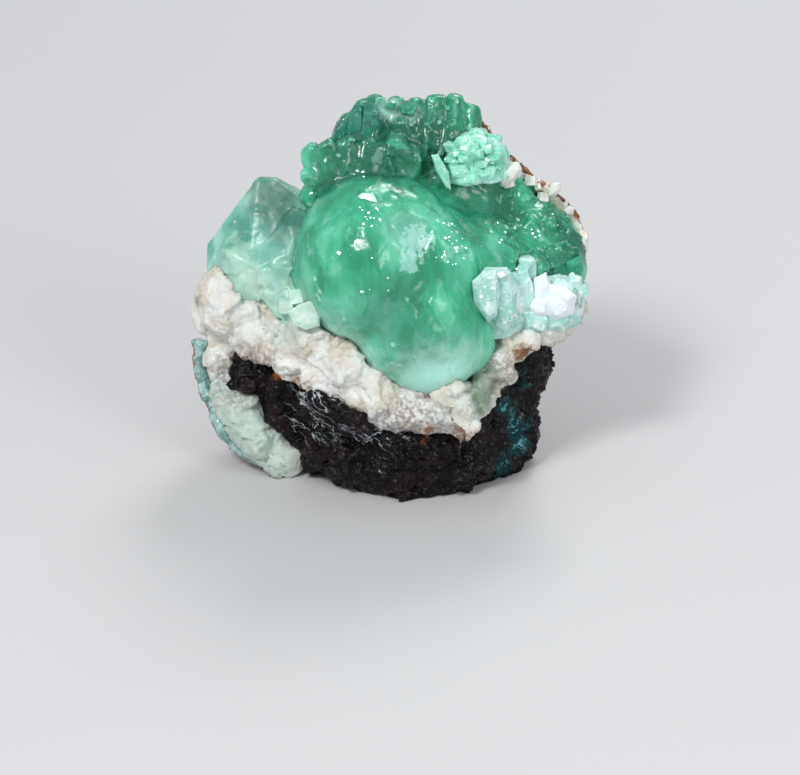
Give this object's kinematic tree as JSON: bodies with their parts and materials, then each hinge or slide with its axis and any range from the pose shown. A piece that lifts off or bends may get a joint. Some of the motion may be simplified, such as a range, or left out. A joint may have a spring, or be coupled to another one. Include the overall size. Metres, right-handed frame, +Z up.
{
  "type": "green apophyllite mineral specimen",
  "caption": "Green apophyllite balls and blades with colourless crystals on white zeolite crust and dark basalt matrix, standing on a flat base.",
  "frame": {"origin": "middle of the bottom of the specimen's box, on the surface that it rests on", "axes": "+Z up, -Y towards the side with the crystals, +X to the right as seen from there"},
  "size_m": [0.0808, 0.0474, 0.0754],
  "materials": {
    "basalt": "rough with glassy specks",
    "white_zeolite": "sugary, matt",
    "cream_stilbite": "pearly",
    "blue_chalcedony": "waxy, translucent",
    "green_apophyllite": "glassy, translucent",
    "mint_apophyllite": "glassy, translucent",
    "grey_green_apophyllite": "glassy, translucent",
    "colourless_apophyllite": "glassy, translucent"
  },
  "bodies": {
    "root": {"basalt_matrix": "basalt", "zeolite_crust": "white_zeolite", "stilbite_rim": "cream_stilbite", "chalcedony_seam": "blue_chalcedony", "apophyllite_ball": "green_apophyllite", "apophyllite_crest": "green_apophyllite", "apophyllite_fan": "green_apophyllite", "apophyllite_cluster": "mint_apophyllite", "apophyllite_left": "grey_green_apophyllite", "apophyllite_pale": "colourless_apophyllite"}
  },
  "joints": []
}
